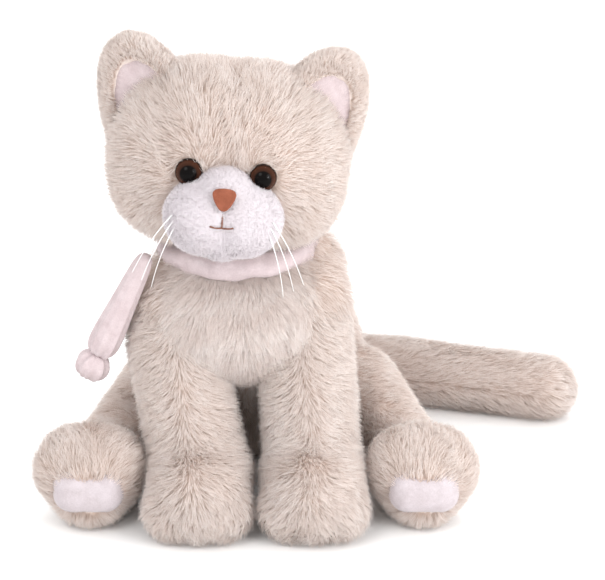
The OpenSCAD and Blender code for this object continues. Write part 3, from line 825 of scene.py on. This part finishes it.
def thread_finish(name, colour, shine=0.3):
    """Twisted thread: fine slanting ridges and a slight change of tone along it."""
    finish, nodes, links, shader = new_finish(name, 0.6, shine)
    place = nodes.new("ShaderNodeTexCoord")
    twist = node_of(nodes, "ShaderNodeTexWave", {"bands_direction": "DIAGONAL"},
                    Scale=900.0, Distortion=1.5)
    links.new(place.outputs["Object"], twist.inputs["Vector"])
    tones = ramp_of(nodes, (0.0, tuple(c * 0.7 for c in colour[:3]) + (1,)), (0.6, colour))
    links.new(twist.outputs["Fac"], tones.inputs[0])
    links.new(tones.outputs[0], shader.inputs["Base Color"])
    bump = node_of(nodes, "ShaderNodeBump", None, Strength=0.6, Distance=0.0002)
    links.new(twist.outputs["Fac"], bump.inputs["Height"])
    links.new(bump.outputs[0], shader.inputs["Normal"])
    return finish


def finish_node(node, finish):
    """A CAD node whose shape is right keeps it and takes a finish."""
    frame["nodes"][node].data.materials.clear()
    frame["nodes"][node].data.materials.append(finish)



def threads_of(name, lines, radius, finish, body, node):
    """Threads along lines of points in the head's own frame, each point with its share of the radius."""
    curve = bpy.data.curves.new(name, "CURVE")
    curve.dimensions = "3D"
    curve.bevel_depth = radius
    curve.bevel_resolution = 2
    curve.use_fill_caps = True
    for points in lines:
        line = curve.splines.new("POLY")
        line.points.add(len(points) - 1)
        for spot, (place, share) in zip(line.points, points):
            spot.co = (*(head_frame @ Vector(place)), 1)
            spot.radius = share
    piece = bpy.data.objects.new(name, curve)
    bpy.context.scene.collection.objects.link(piece)
    piece.data.materials.append(finish)
    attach(piece, body)
    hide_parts(node)


MOUTH_Z = -0.0165


def on_muzzle(x, z, proud):
    """A point on the front of the two puffs, a little proud of their skin."""
    depth = math.sqrt(0.0160**2 - (abs(x) - 0.0086) ** 2 - (z - MOUTH_Z) ** 2)
    return x, -0.042 - depth - proud, z


upright = [(on_muzzle(0, MOUTH_Z + 0.001 * k, 0.0016), 1.0) for k in range(7)]
smiles = [[(on_muzzle(side * 0.001 * k, MOUTH_Z + 0.00004 * k * k, 0.0014), 0.9) for k in range(6)]
          for side in (1, -1)]
MOUTH = thread_finish("mouth_thread", srgb(132, 86, 68))
threads_of("mouth_threads", [upright, *smiles], 0.00042, MOUTH, "head", "mouth_stitching")

# ---- Whiskers ----
# Three stiff waxed white threads in each cheek, pushed through the muzzle and knotted behind it; they
# droop outwards and thin towards their tips.

WHISKER = thread_finish("whisker_thread", srgb(252, 252, 252), 0.5)
for name, side in (("left", 1), ("right", -1)):
    lines = []
    for k in range(3):
        here = Vector((side * (0.0215 - 0.0010 * k), -0.0530, -0.0135 - 0.0020 * k))
        slope = math.radians(50 + 7 * k)
        points = []
        for i in range(12):
            points.append((here.copy(), 1.0 - 0.05 * i))
            bent = slope + math.radians(1.6 * i)
            here += 0.0026 * Vector((side * math.cos(bent), -0.30 + 0.05 * k, -math.sin(bent)))
        lines.append(points)
    threads_of(f"whisker_threads_{name}", lines, 0.00026, WHISKER, "head",
               f"whiskers_{name}")

# ---- Scarf ----
# A velour scarf sewn as a soft filled tube round the neck. One end hangs free, gathered by a stitch
# into a long sleeve, a round puff and a smaller ball at its tip.


def turned_form(name, profile, along, start, folds, seed, segments=48):
    """A soft tube spun about its own line. profile gives (distance along, radius, depth of folds)."""
    form = bmesh.new()
    ring = [form.verts.new((r, 0, d)) for d, r, _ in profile]
    edges = [form.edges.new((ring[k], ring[k + 1])) for k in range(len(ring) - 1)]
    bmesh.ops.spin(form, geom=ring + edges, cent=(0, 0, 0), axis=(0, 0, 1), angle=2 * math.pi,
                   steps=segments, use_merge=True)
    bmesh.ops.remove_doubles(form, verts=form.verts[:], dist=1e-6)
    bmesh.ops.recalc_face_normals(form, faces=form.faces[:])
    depths = np.array([[d, f] for d, _, f in profile])
    rng = np.random.default_rng(seed)
    phases = rng.uniform(0, 2 * math.pi, 3)
    for v in form.verts:
        turn = math.atan2(v.co.y, v.co.x)
        depth = float(np.interp(v.co.z, depths[:, 0], depths[:, 1]))
        ripple = math.sin(folds * turn + phases[0]) + 0.6 * math.sin((folds - 3) * turn + phases[1]) \
            + 0.4 * math.sin((folds + 4) * turn + phases[2])
        scale = 1 + depth * ripple
        v.co.x *= scale
        v.co.y *= scale
    place = Matrix.Translation(start) @ Vector(along).to_track_quat("Z", "Y").to_matrix().to_4x4()
    bmesh.ops.transform(form, matrix=place, verts=form.verts[:])
    piece = piece_of(name, form)
    round_off = piece.modifiers.new("round", "SUBSURF")
    round_off.levels = round_off.render_levels = 1
    return piece


band_low, band_high = span("scarf_band")
band_mid = (band_low + band_high) / 2
band_half = (band_high.z - band_low.z) / 2
band_reach = (band_high.x - band_low.x) / 2 - band_half
band_form = bmesh.new()
upright_ring = Matrix.Translation((band_reach, 0, 0)) @ Matrix.Rotation(math.pi / 2, 4, "X")
bmesh.ops.create_circle(band_form, segments=28, radius=band_half - 0.0004, matrix=upright_ring)
bmesh.ops.spin(band_form, geom=band_form.verts[:] + band_form.edges[:], cent=(0, 0, 0), axis=(0, 0, 1),
               angle=2 * math.pi, steps=140, use_merge=True)
bmesh.ops.remove_doubles(band_form, verts=band_form.verts[:], dist=1e-6)
bmesh.ops.recalc_face_normals(band_form, faces=band_form.faces[:])
for v in band_form.verts:
    turn = math.atan2(v.co.y, v.co.x)
    outward = Vector((math.cos(turn), math.sin(turn), 0))
    round_ring = v.co - outward * band_reach
    fold = math.atan2(v.co.z, v.co.to_2d().length - band_reach)
    crease = 0.05 * math.sin(9 * turn + 2.2 * fold) + 0.035 * math.sin(17 * turn - 1.5 * fold + 1.0) \
        + 0.05 * math.sin(3 * fold + 2 * math.sin(4 * turn))
    v.co = outward * band_reach + round_ring * (1 + crease - 0.04)
bmesh.ops.translate(band_form, verts=band_form.verts[:], vec=band_mid)
band = piece_of("scarf_tube", band_form)
dress(band, PINK_VELOUR, "torso", "scarf_velour", "scarf_band")

sleeve_top = joints["scarf_end_swing"]
knot_low, knot_high = span("scarf_knot")
tip_low, tip_high = span("scarf_tip")
knot = Vector(((knot_low.x + knot_high.x) / 2, (knot_low.y + knot_high.y) / 2, knot_low.z + 0.0085))
tip = Vector(((tip_low.x + tip_high.x) / 2, (tip_low.y + tip_high.y) / 2, tip_low.z + 0.007))
down = (knot - sleeve_top).normalized()
drop = (knot - sleeve_top).length
sleeve = turned_form("scarf_sleeve", [
    (-0.0035, 0.0, 0), (-0.0030, 0.0026, 0), (0.0, 0.0046, 0.03), (0.35 * drop, 0.0056, 0.03),
    (0.62 * drop, 0.0070, 0.04), (0.78 * drop, 0.0074, 0.05), (0.86 * drop, 0.0066, 0.10),
    (0.90 * drop, 0.0052, 0.16), (0.925 * drop, 0.004, 0.2), (0.93 * drop, 0.0, 0)],
    down, sleeve_top, 9, 91)
dress(sleeve, PINK_VELOUR, "scarf_end", "scarf_velour", "scarf_end")
puff_top = sleeve_top.lerp(knot, 0.915)
puff_line = (tip - puff_top).normalized()
puff = turned_form("scarf_puff", [
    (0.0, 0.0, 0), (0.0004, 0.0036, 0.2), (0.0022, 0.0062, 0.12), (0.0052, 0.0080, 0.05),
    (0.0086, 0.0080, 0.05), (0.0116, 0.0062, 0.12), (0.0134, 0.0040, 0.2), (0.0138, 0.0, 0)],
    puff_line, puff_top, 10, 92)
dress(puff, PINK_VELOUR, "scarf_end", "scarf_velour", "scarf_knot")
ball_top = puff_top + puff_line * 0.0132
ball = turned_form("scarf_ball", [
    (0.0, 0.0, 0), (0.0004, 0.0034, 0.2), (0.0020, 0.0056, 0.10), (0.0048, 0.0068, 0.04),
    (0.0078, 0.0066, 0.03), (0.0106, 0.0050, 0.02), (0.0122, 0.0026, 0), (0.0127, 0.0, 0)],
    (tip - ball_top).normalized(), ball_top, 8, 93)
dress(ball, PINK_VELOUR, "scarf_end", "scarf_velour", "scarf_tip")

# ---- Label ----
# A blank white satin tab folded into the side seam.

SATIN, nodes, links, shader = new_finish("label_satin", 0.4, 0.5)
place = nodes.new("ShaderNodeTexCoord")
weave = node_of(nodes, "ShaderNodeTexWave", {"bands_direction": "Z"}, Scale=700.0, Distortion=0.3)
links.new(place.outputs["Object"], weave.inputs["Vector"])
tones = ramp_of(nodes, (0.0, srgb(206, 206, 204)), (0.7, srgb(228, 227, 225)))
links.new(weave.outputs["Fac"], tones.inputs[0])
links.new(tones.outputs[0], shader.inputs["Base Color"])
finish_node("care_label", SATIN)
